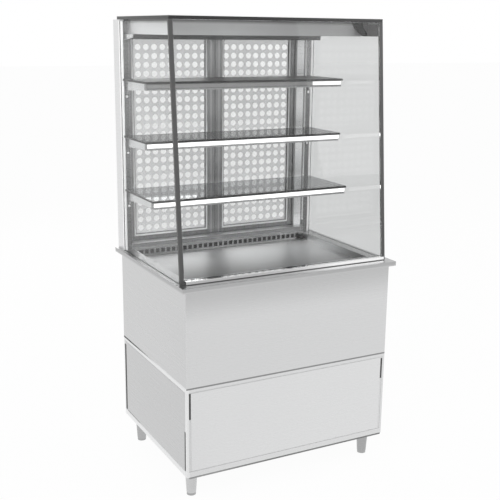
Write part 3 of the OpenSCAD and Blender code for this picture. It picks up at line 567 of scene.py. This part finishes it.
# Black for the shade in the grille's slots and in the pan's right rear corner: painted shade.
shade_fill_finish = plastic("black_shade", 0.012, rough=0.6)
guard_finish = brushed("guard_wire", 0.4)
edge_finish = brushed("dark_glass_edge", 0.05, rough=0.25)


def dress():
    """Every CAD node takes its own finish, or else its slot's."""
    for part in frame["record"]["subparts"]:
        name = part["node"]
        node = frame["nodes"][name]
        own = OWN_FINISHES.get(name)
        finish = own(f"{name}_finish") if own else materials[part["material_slot"]]
        node.data.materials.clear()
        node.data.materials.append(finish)


# Geometry helpers


def piece(name, bm, body, slot, finish=None, smooth=False):
    """Turns a bmesh into a piece that rides on a CAD body and has a slot's finish, or one of its own."""
    bmesh.ops.recalc_face_normals(bm, faces=bm.faces)
    data = bpy.data.meshes.new(name)
    bm.to_mesh(data)
    bm.free()
    if smooth:
        for face in data.polygons:
            face.use_smooth = True
    data.materials.append(finish or materials[slot])
    made = bpy.data.objects.new(name, data)
    bpy.context.scene.collection.objects.link(made)
    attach(made, body)


def soft_box(bm, low, high, radius, segments):
    """A box with rounded edges, between two corners."""
    low, high = Vector(low), Vector(high)
    made = bmesh.ops.create_cube(bm, size=1.0)
    bmesh.ops.scale(bm, vec=high - low, verts=made["verts"])
    bmesh.ops.translate(bm, vec=(low + high) / 2, verts=made["verts"])
    edges = {edge for vertex in made["verts"] for edge in vertex.link_edges}
    bmesh.ops.bevel(bm, geom=list(edges), offset=radius, segments=segments, affect="EDGES")


def strips(name, boxes, body, slot, finish=None, radius=0.3 * MM, segments=1, smooth=False):
    """One piece from slim boxes, each given by its two corners."""
    bm = bmesh.new()
    for low, high in boxes:
        soft_box(bm, low, high, radius, segments)
    piece(name, bm, body, slot, finish, smooth)


def border(u0, u1, v0, v1, wide, lapped):
    """The four bars of a rectangular border, as (u0, u1, v0, v1). The bars along U run over the bars along V
    if they are lapped, and else between them."""
    inset = 0 if lapped else wide
    return ((u0, u0 + wide, v0, v1), (u1 - wide, u1, v0, v1),
            (u0 + inset, u1 - inset, v0, v0 + wide), (u0 + inset, u1 - inset, v1 - wide, v1))


def turned(bm, centre, axis, outline, steps):
    """A body of revolution about an axis, from (distance along the axis, radius) points."""
    turn = Vector((0, 0, 1)).rotation_difference(Vector(axis)).to_matrix()
    rings = []
    for along, radius in outline:
        ring = []
        for i in range(steps):
            a = 2 * math.pi * i / steps
            spot = turn @ Vector((radius * math.cos(a), radius * math.sin(a), along))
            ring.append(bm.verts.new(Vector(centre) + spot))
        rings.append(ring)
    for a, b in zip(rings, rings[1:]):
        for i in range(steps):
            j = (i + 1) % steps
            bm.faces.new((a[i], a[j], b[j], b[i]))
    bm.faces.new(rings[0][::-1])
    bm.faces.new(rings[-1])


def wire_ring(bm, centre, radius, wire, steps=56, sides=8):
    """A ring of round wire about an axis along Y."""
    rows = []
    for i in range(steps):
        a = 2 * math.pi * i / steps
        row = []
        for j in range(sides):
            b = 2 * math.pi * j / sides
            reach = radius + wire * math.cos(b)
            spot = Vector((reach * math.cos(a), wire * math.sin(b), reach * math.sin(a)))
            row.append(bm.verts.new(Vector(centre) + spot))
        rows.append(row)
    for i in range(steps):
        a, b = rows[i], rows[(i + 1) % steps]
        for j in range(sides):
            k = (j + 1) % sides
            bm.faces.new((a[j], a[k], b[k], b[j]))


def plate(bm, outline, y0, y1):
    """A flat plate between two places along Y, from its outline in X and Z."""
    near = [bm.verts.new((x, y0, z)) for x, z in outline]
    far = [bm.verts.new((x, y1, z)) for x, z in outline]
    bm.faces.new(near)
    bm.faces.new(far[::-1])
    for i in range(len(outline)):
        j = (i + 1) % len(outline)
        bm.faces.new((near[i], far[i], far[j], near[j]))


def pan_head(bm, place, radius):
    """A small domed screw head that looks along +Y."""
    outline = ((0, radius), (0.9 * MM, radius), (1.7 * MM, radius * 0.72), (1.9 * MM, radius * 0.3))
    turned(bm, place, (0, 1, 0), outline, 20)


# The doors

# The print on their glass, with round openings in rows
DOT_RADIUS = 12.5 * MM
DOT_PITCH = 36.2 * MM
DOT_COLUMNS = 9
DOT_ROWS = 22
DOT_FROM_TOP = 70.1 * MM
DOT_FROM_MIDDLE = 56.0 * MM
DOT_STEPS = 16
PRINT_DEPTH = 0.15 * MM


def print_cell(bm, x, y, z):
    """A square of the print, with a round opening in its middle."""
    inner, outer = [], []
    for i in range(DOT_STEPS):
        a = 2 * math.pi * i / DOT_STEPS
        across, up = math.cos(a), math.sin(a)
        reach = DOT_PITCH / 2 / max(abs(across), abs(up))
        inner.append(bm.verts.new((x + DOT_RADIUS * across, y, z + DOT_RADIUS * up)))
        outer.append(bm.verts.new((x + reach * across, y, z + reach * up)))
    for i in range(DOT_STEPS):
        j = (i + 1) % DOT_STEPS
        bm.faces.new((inner[i], inner[j], outer[j], outer[i]))


def door_print(side, way):
    """A thin print with round openings on the inner face of a door's glass."""
    low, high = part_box(f"door_{side}_glass")
    y = low.y - PRINT_DEPTH
    columns = [way * (DOT_FROM_MIDDLE + i * DOT_PITCH) for i in range(DOT_COLUMNS)]
    rows = [high.z - DOT_FROM_TOP - i * DOT_PITCH for i in range(DOT_ROWS)]
    bm = bmesh.new()
    for x in columns:
        for z in rows:
            print_cell(bm, x, y, z)
    x0, x1 = min(columns) - DOT_PITCH / 2, max(columns) + DOT_PITCH / 2
    z0, z1 = min(rows) - DOT_PITCH / 2, max(rows) + DOT_PITCH / 2
    margins = ((low.x, x0, low.z, high.z), (x1, high.x, low.z, high.z),
               (x0, x1, z1, high.z), (x0, x1, low.z, z0))
    for left, right, bottom, top in margins:
        corners = ((left, bottom), (right, bottom), (right, top), (left, top))
        bm.faces.new([bm.verts.new((x, y, z)) for x, z in corners])
    bmesh.ops.remove_doubles(bm, verts=bm.verts, dist=0.01 * MM)
    bmesh.ops.recalc_face_normals(bm, faces=bm.faces)
    bmesh.ops.solidify(bm, geom=bm.faces[:], thickness=-0.9 * PRINT_DEPTH)
    piece(f"door_{side}_print", bm, f"door_{side}", "door_glass", print_finish)


def door_gasket(side):
    """The dark gaskets between a door's beads and its glass, inside and outside."""
    low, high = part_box(f"door_{side}_frame")
    inset_x, inset_z = 42 * MM, 39 * MM
    near, far = 2.6 * MM, 5.6 * MM
    bars = border(low.x + inset_x, high.x - inset_x, low.z + inset_z, high.z - inset_z, 2 * MM, True)
    boxes = [((x0, y0, z0), (x1, y1, z1))
             for y0, y1 in ((low.y + near, low.y + far), (high.y - far, high.y - near))
             for x0, x1, z0, z1 in bars]
    strips(f"door_{side}_gasket", boxes, f"door_{side}", "black_seal", radius=0.4 * MM)


def door_beads(side):
    """The light trim on the inner bead round a door's glass, glowing a little as a painted highlight."""
    low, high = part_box(f"door_{side}_frame")
    inset_x, inset_z = 34.6 * MM, 31.6 * MM
    y0, y1 = low.y + 2.5 * MM, low.y + 2.95 * MM
    bars = border(low.x + inset_x, high.x - inset_x, low.z + inset_z, high.z - inset_z, 6.6 * MM, False)
    boxes = [((x0, y0, z0), (x1, y1, z1)) for x0, x1, z0, z1 in bars]
    strips(f"door_{side}_bead", boxes, f"door_{side}", "door_aluminium", trim_highlight_finish, 0.1 * MM)


# The glass box


def glass_edges(name, node, proud, back):
    """Dark polished edges in front of a pane and along its sides, as far back as a place along Y."""
    low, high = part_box(node)
    gap = 0.05 * MM
    boxes = (((low.x, low.y - proud, low.z), (high.x, low.y - gap, high.z)),
             ((low.x - proud, low.y, low.z), (low.x - gap, back, high.z)),
             ((high.x + gap, low.y, low.z), (high.x + proud, back, high.z)))
    strips(name, boxes, "cabinet", "tinted_glass", edge_finish, 0.15 * MM)


def roof_edges():
    glass_edges("roof_edges", "roof_glass", 0.6 * MM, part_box("roof_glass")[1].y)


def shelf_edges():
    """The shelves' dark edges, which end just ahead of the posts."""
    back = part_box("rear_post_right")[0].y - 1 * MM
    for name in ("shelf_upper", "shelf_middle", "shelf_lower"):
        glass_edges(f"{name}_edges", name, 0.5 * MM, back)


def rail_dark_strip():
    """The dark strip on the worktop just ahead of the front rail."""
    low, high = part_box("front_rail")
    box = ((low.x, low.y - 4 * MM, low.z), (high.x, low.y, low.z + 2 * MM))
    strips("rail_dark_strip", [box], "cabinet", "black_seal", radius=0.8 * MM, segments=2, smooth=True)


def post_beads():
    """Sealant beads where the side panes meet the posts, light and glowing a little as a painted highlight.
    """
    proud, gap = 0.25 * MM, 0.2 * MM
    bevel, face = 3 * MM, 10 * MM
    for side, way in (("left", -1), ("right", 1)):
        low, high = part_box(f"side_glass_{side}")
        outer, inner = (low.x, high.x) if way < 0 else (high.x, low.x)
        back = high.y
        in_bevel = (outer + way * proud, outer - way * bevel, back - 0.3 * MM, back + 7 * MM)
        behind_pane = (outer - way * gap, inner + way * gap, back + 0.05 * MM, back + 0.45 * MM)
        inside_pane = (inner - way * gap, inner - way * (gap + face), back - 0.9 * MM, back + 0.1 * MM)
        boxes = []
        for xa, xb, y0, y1 in (in_bevel, behind_pane, inside_pane):
            x0, x1 = sorted((xa, xb))
            boxes.append(((x0, y0, low.z), (x1, y1, high.z)))
        strips(f"pane_bead_{side}", boxes, "cabinet", "stainless_satin", bead_highlight_finish, gap, smooth=True)


# The dark patch of painted shade at the canopy's right end: the points of its curved sides from the top down,
# in millimetres to the right of the canopy's end and above its lower edge
SHADE_LEFT = ((-38.7, 53.8), (-33.7, 38.3), (-24.7, 24.3), (-11.7, 11.3), (5.8, 0.5))
SHADE_RIGHT = ((3.3, 53.8), (9.3, 38.3), (18.3, 24.3), (29.3, 11.3), (30.3, 0.5))
SHADE_SIDE_RIGHT = 30.8


def canopy_end():
    """Painted shade at the canopy's right end: a dark curved patch, with a dim plate beside it."""
    low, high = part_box("canopy_shell")
    roof_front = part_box("roof_glass")[0].y

    def spot(across, up):
        return high.x + across * MM, low.z + up * MM

    left = [spot(*point) for point in SHADE_LEFT]
    right = [spot(*point) for point in SHADE_RIGHT]
    back = low.y - 0.3 * MM
    bm = bmesh.new()
    plate(bm, [*left, *reversed(right)], low.y - 1.6 * MM, back)
    piece("canopy_end_shade_patch", bm, "cabinet", "black_seal", shade_patch_finish)
    top, bottom = SHADE_RIGHT[0][1], SHADE_RIGHT[-1][1]
    bm = bmesh.new()
    plate(bm, [*right, spot(SHADE_SIDE_RIGHT, bottom), spot(SHADE_SIDE_RIGHT, top)], low.y - 0.9 * MM, back)
    x0, z0 = spot(SHADE_SIDE_RIGHT + 0.2, bottom)
    x1, z1 = spot(SHADE_SIDE_RIGHT + 1.2, top - 5)
    soft_box(bm, (x0, roof_front + 12.5 * MM, z0), (x1, back, z1), 0.2 * MM, 1)
    piece("canopy_end_shade_plate", bm, "cabinet", "stainless_dark", side_shade_finish)


# The cabinet


def split_shade_strip():
    """A dark strip in the shadow gap between the upper and the lower body: painted shade."""
    low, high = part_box("lower_frame")
    proud, deep = 0.25 * MM, 7.5 * MM
    z0, z1 = high.z - 6.4 * MM, high.z - 0.2 * MM
    bars = border(low.y - proud, high.y + proud, low.x - proud, high.x + proud, deep + proud, False)
    boxes = [((x0, y0, z0), (x1, y1, z1)) for y0, y1, x0, x1 in bars]
    strips("split_shade_strip", boxes, "cabinet", "black_seal", split_shade_finish)


def underside_shade_strip():
    """A dark strip hung under the front of the body: painted shade."""
    low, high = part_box("lower_frame")
    box = ((low.x + 12 * MM, low.y + 0.5 * MM, low.z - 7.4 * MM),
           (high.x - 3 * MM, low.y + 6 * MM, low.z - 0.1 * MM))
    strips("front_underside_shade", [box], "cabinet", "stainless_dark", underside_shade_finish, 0.8 * MM, 2)


# The gaps round the inset panels are filled nearly flush with light strips, painted light that hides their
# shade, and with dark strips of painted shade along some stretches
GAP_SIDE = 8 * MM
GAP_END = 3 * MM
FILL_SLACK = 0.4 * MM
FILL_NEAR = 0.15 * MM
FILL_FAR = 3 * MM
SHADE_LAP = 1.6 * MM
SHADE_WIDE_LAP = 9 * MM
SHADE_PROUD = 0.25 * MM

# Each panel's axis (0 for X, 1 for Y) and outward way, and the dark stretches in its first upright gap,
# its second upright gap and its bottom gap, in millimetres from the panel's lower corner
PANELS = {
    "lower_panel_front": (0, -1, (212, 316.5), (224, 313), ()),
    "lower_panel_left": (1, -1, (0.5, 160), (0.5, 304), (476.5, 623.5)),
    "lower_panel_right": (1, 1, (), (), ()),
    "rear_vent_panel": (0, 1, (), (), ()),
}


def stretches(start, end, origin, dark):
    """A gap's stretches as (from, to, whether it is dark), without slivers."""
    stops = [start, *(origin + place * MM for place in dark), end]
    return [(a, b, i == 1) for i, (a, b) in enumerate(zip(stops, stops[1:])) if b - a > MM]


def panel_gap(panel, axis, outward, dark_first, dark_second, dark_bottom):
    """The light and the dark boxes in the gap round one inset panel."""
    low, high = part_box(panel)
    depth = 1 - axis
    face = low[depth] if outward < 0 else high[depth]
    near, far = sorted((face - outward * FILL_NEAR, face - outward * FILL_FAR))

    def box(u0, u1, z0, z1, proud=0):
        a, b = [0, 0, z0], [0, 0, z1]
        a[axis], b[axis] = u0, u1
        a[depth], b[depth] = near - proud, far + proud
        return a, b

    light, dark = [], []
    first = (low[axis] - GAP_SIDE + FILL_SLACK, low[axis] - FILL_SLACK, dark_first, SHADE_LAP)
    second = (high[axis] + FILL_SLACK, high[axis] + GAP_SIDE - FILL_SLACK, dark_second, SHADE_WIDE_LAP)
    for u0, u1, shade, lap in (first, second):
        for z0, z1, is_dark in stretches(low.z, high.z, low.z, shade):
            if not is_dark:
                light.append(box(u0, u1, z0, z1))
            elif axis == 1:
                dark.append(box(u0 - lap, u1 + SHADE_LAP, z0, z1, SHADE_PROUD))
            else:
                dark.append(box(u0, u1, z0, z1))
    start, end = first[0], second[1]
    light.append(box(start, end, high.z + FILL_SLACK, high.z + GAP_END - FILL_SLACK))
    for u0, u1, is_dark in stretches(start, end, low[axis], dark_bottom):
        (dark if is_dark else light).append(box(u0, u1, low.z - GAP_END + FILL_SLACK, low.z - FILL_SLACK))
    return light, dark


def gap_light_and_shade():
    """Light strips of painted light and dark strips of painted shade in the gaps of the four inset panels."""
    for name, gap in PANELS.items():
        light, dark = panel_gap(name, *gap)
        strips(f"{name}_liner", light, "cabinet", "stainless_satin")
        # The dark strips are painted shade.
        if dark:
            strips(f"{name}_gasket", dark, "cabinet", "black_seal", gap_finish)


def grille_shade_backing():
    """A black sheet behind the grille's slots, ribbed at the wires: painted shade in the slots."""
    low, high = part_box("rear_air_grille")
    margin, fold = 4 * MM, 66
    near, far = high.y + 0.3 * MM, high.y + 1.3 * MM
    bottom, top = low.z + 3 * MM, high.z - 3.4 * MM
    rib, proud = 0.5 * MM, 0.8 * MM
    boxes = [((low.x + margin, near, bottom), (high.x - margin, far, top))]
    for i in range(1, fold):
        x = low.x + (high.x - low.x) * i / fold
        boxes.append(((x - rib, far, bottom), (x + rib, far + proud, top)))
    strips("grille_shade_backing", boxes, "cabinet", "black_seal", shade_fill_finish, 0.1 * MM)


def corner_shade_block():
    """A black block and its low tongue at the pan's right rear corner: painted shade in the corner."""
    low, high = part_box("rear_air_grille")
    x, y, z = high.x, low.y - 0.4 * MM, low.z
    bm = bmesh.new()
    soft_box(bm, (x - 19.2 * MM, y - 25.8 * MM, z + 1 * MM), (x - 0.7 * MM, y, z + 17 * MM), 3 * MM, 3)
    soft_box(bm, (x - 30.2 * MM, y - 13.8 * MM, z + 3 * MM), (x - 12.2 * MM, y, z + 11 * MM), 2.5 * MM, 2)
    piece("pan_corner_shade", bm, "cabinet", "black_seal", shade_fill_finish, smooth=True)


# The back and the machine space


def rear_screws():
    """Screws that hold the rear panels and the control plate."""
    bm = bmesh.new()
    for name, inset, rows, radius in (("upper_panel_rear", 14 * MM, 3, 3.4 * MM),
                                      ("rear_vent_panel", 12 * MM, 3, 3.4 * MM),
                                      ("control_plate", 7 * MM, 2, 2.4 * MM)):
        low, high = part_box(name)
        for x in (low.x + inset, high.x - inset):
            for i in range(rows):
                z = low.z + inset + (high.z - low.z - 2 * inset) * i / (rows - 1)
                pan_head(bm, (x, high.y, z), radius)
    piece("rear_screws", bm, "cabinet", "screw_steel")


def hinge_screws():
    """A screw in each hinge plate on the header and the sill."""
    low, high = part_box("door_hinges")
    inset_x, inset_z = 12 * MM, 10 * MM
    bm = bmesh.new()
    for x in (low.x + inset_x, high.x - inset_x):
        for z in (low.z + inset_z, high.z - inset_z):
            pan_head(bm, (x, low.y, z), 2.6 * MM)
    piece("hinge_screws", bm, "cabinet", "screw_steel")


# The ticks round the thermostat knob, with a longer one at every fifth place, and the switches' bezels
TICKS = 11
TICK_FIRST = math.radians(-135)
TICK_STEP = math.radians(27)
TICK_CIRCLE = 24 * MM
TICK_WIDE = 0.8 * MM
TICK_PROUD = 0.3 * MM
TICK_LONG = 5 * MM
TICK_SHORT = 3 * MM
BEZEL_REACH = 3 * MM
BEZEL_WIDE = 2 * MM
BEZEL_PROUD = 1 * MM


def dial_marks():
    """Ticks round the thermostat knob and bezels round the switches."""
    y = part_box("control_plate")[1].y
    low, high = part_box("thermostat_knob")
    centre = Vector(((low.x + high.x) / 2, y + TICK_PROUD / 2, (low.z + high.z) / 2))
    bm = bmesh.new()
    for i in range(TICKS):
        turn = Matrix.Rotation(-(TICK_FIRST + TICK_STEP * i), 4, "Y")
        made = bmesh.ops.create_cube(bm, size=1.0)
        length = TICK_SHORT if i % 5 else TICK_LONG
        bmesh.ops.scale(bm, vec=(TICK_WIDE, TICK_PROUD, length), verts=made["verts"])
        bmesh.ops.translate(bm, vec=(0, 0, TICK_CIRCLE), verts=made["verts"])
        bmesh.ops.transform(bm, matrix=Matrix.Translation(centre) @ turn, verts=made["verts"])
    for name in ("power_switch", "light_switch"):
        low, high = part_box(name)
        bars = border(low.x - BEZEL_REACH, high.x + BEZEL_REACH, low.z - BEZEL_REACH, high.z + BEZEL_REACH,
                      BEZEL_WIDE, True)
        for x0, x1, z0, z1 in bars:
            soft_box(bm, (x0, y, z0), (x1, y + BEZEL_PROUD, z1), 0.3 * MM, 1)
    piece("dial_marks", bm, "cabinet", "switch_plastic")


# The guard of the condenser fan: wire rings and spokes round a hub
GUARD_WIRE = 1.3 * MM
GUARD_RADII = [radius * MM for radius in (30, 52, 74, 96, 112)]
GUARD_SPOKES = 8
SPOKE_FROM = 10 * MM
SPOKE_TO = 113.5 * MM
HUB_OUTLINE = ((0, 16 * MM), (3 * MM, 16 * MM), (4 * MM, 13 * MM))


def fan_guard():
    """Wire rings and spokes in front of the condenser fan."""
    low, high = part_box("condenser_fan_shroud")
    fan_low, fan_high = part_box("condenser_fan")
    centre = Vector(((low.x + high.x) / 2, high.y - 4 * MM, (fan_low.z + fan_high.z) / 2))
    bm = bmesh.new()
    for radius in GUARD_RADII:
        wire_ring(bm, centre, radius, GUARD_WIRE)
    for i in range(GUARD_SPOKES):
        a = 2 * math.pi * i / GUARD_SPOKES
        spoke = ((SPOKE_FROM, GUARD_WIRE), (SPOKE_TO, GUARD_WIRE))
        turned(bm, centre, (math.cos(a), 0, math.sin(a)), spoke, 8)
    turned(bm, centre - Vector((0, 1.5 * MM, 0)), (0, 1, 0), HUB_OUTLINE, 28)
    piece("fan_guard", bm, "cabinet", "shroud_steel", guard_finish, smooth=True)


# The stage


def linked(tree, *pairs):
    for source, target in pairs:
        tree.links.new(source, target)


def seen_directly(tree):
    """1 for camera, glossy and transmission rays, else 0."""
    path = tree.nodes.new("ShaderNodeLightPath")
    first = tree.nodes.new("ShaderNodeMath")
    second = tree.nodes.new("ShaderNodeMath")
    for node in (first, second):
        node.operation = "MAXIMUM"
    linked(tree, (path.outputs["Is Camera Ray"], first.inputs[0]),
           (path.outputs["Is Glossy Ray"], first.inputs[1]),
           (first.outputs[0], second.inputs[0]),
           (path.outputs["Is Transmission Ray"], second.inputs[1]))
    return second.outputs[0]


def stage_floor():
    """A pale floor that shows white to the camera and in reflections, and keeps the object's shadow."""
    bm = bmesh.new()
    bmesh.ops.create_grid(bm, x_segments=1, y_segments=1, size=FLOOR_HALF)
    data = bpy.data.meshes.new("floor")
    bm.to_mesh(data)
    bm.free()
    floor = bpy.data.objects.new("floor", data)
    floor.location = (0, 0, -FLOOR_DROP)
    bpy.context.scene.collection.objects.link(floor)
    data.materials.append(floor_white())


def floor_white():
    """A diffuse white that mostly glows where it is seen directly."""
    material = bpy.data.materials.new("floor_white")
    material.use_nodes = True
    tree = material.node_tree
    tree.nodes.clear()
    out = tree.nodes.new("ShaderNodeOutputMaterial")
    diffuse = tree.nodes.new("ShaderNodeBsdfDiffuse")
    diffuse.inputs["Color"].default_value = FLOOR_TONE
    glow = tree.nodes.new("ShaderNodeEmission")
    mix = tree.nodes.new("ShaderNodeMixShader")
    factor = tree.nodes.new("ShaderNodeMath")
    factor.operation = "MULTIPLY"
    factor.inputs[1].default_value = FLOOR_WHITE
    linked(tree, (seen_directly(tree), factor.inputs[0]), (factor.outputs[0], mix.inputs[0]),
           (diffuse.outputs[0], mix.inputs[1]), (glow.outputs[0], mix.inputs[2]),
           (mix.outputs[0], out.inputs[0]))
    return material


def stage_world():
    """Plain soft light all round, white where it is seen."""
    world = bpy.data.worlds.new("world")
    bpy.context.scene.world = world
    world.use_nodes = True
    tree = world.node_tree
    tree.nodes.clear()
    out = tree.nodes.new("ShaderNodeOutputWorld")
    soft = tree.nodes.new("ShaderNodeBackground")
    soft.inputs["Strength"].default_value = AMBIENT
    white = tree.nodes.new("ShaderNodeBackground")
    for shader in (soft, white):
        shader.inputs["Color"].default_value = WORLD_TONE
    mix = tree.nodes.new("ShaderNodeMixShader")
    linked(tree, (seen_directly(tree), mix.inputs[0]), (soft.outputs[0], mix.inputs[1]),
           (white.outputs[0], mix.inputs[2]), (mix.outputs[0], out.inputs[0]))


def lamp(name, place, aim, width, power):
    """A soft square lamp at a place, aimed at a point."""
    data = bpy.data.lights.new(name, "AREA")
    data.shape = "SQUARE"
    data.size = width
    data.energy = power
    light = bpy.data.objects.new(name, data)
    bpy.context.scene.collection.objects.link(light)
    light.location = place
    light.rotation_euler = (Vector(aim) - Vector(place)).to_track_quat("-Z", "Y").to_euler()


camera()
stage_world()
stage_floor()
for name, settings in LAMPS.items():
    lamp(name, *settings)

dress()
for side, way in (("left", -1), ("right", 1)):
    door_print(side, way)
    door_gasket(side)
    door_beads(side)
roof_edges()
shelf_edges()
rail_dark_strip()
post_beads()
split_shade_strip()
gap_light_and_shade()
underside_shade_strip()
canopy_end()
grille_shade_backing()
corner_shade_block()
rear_screws()
hinge_screws()
dial_marks()
fan_guard()

bpy.context.scene.view_settings.view_transform = "Standard"
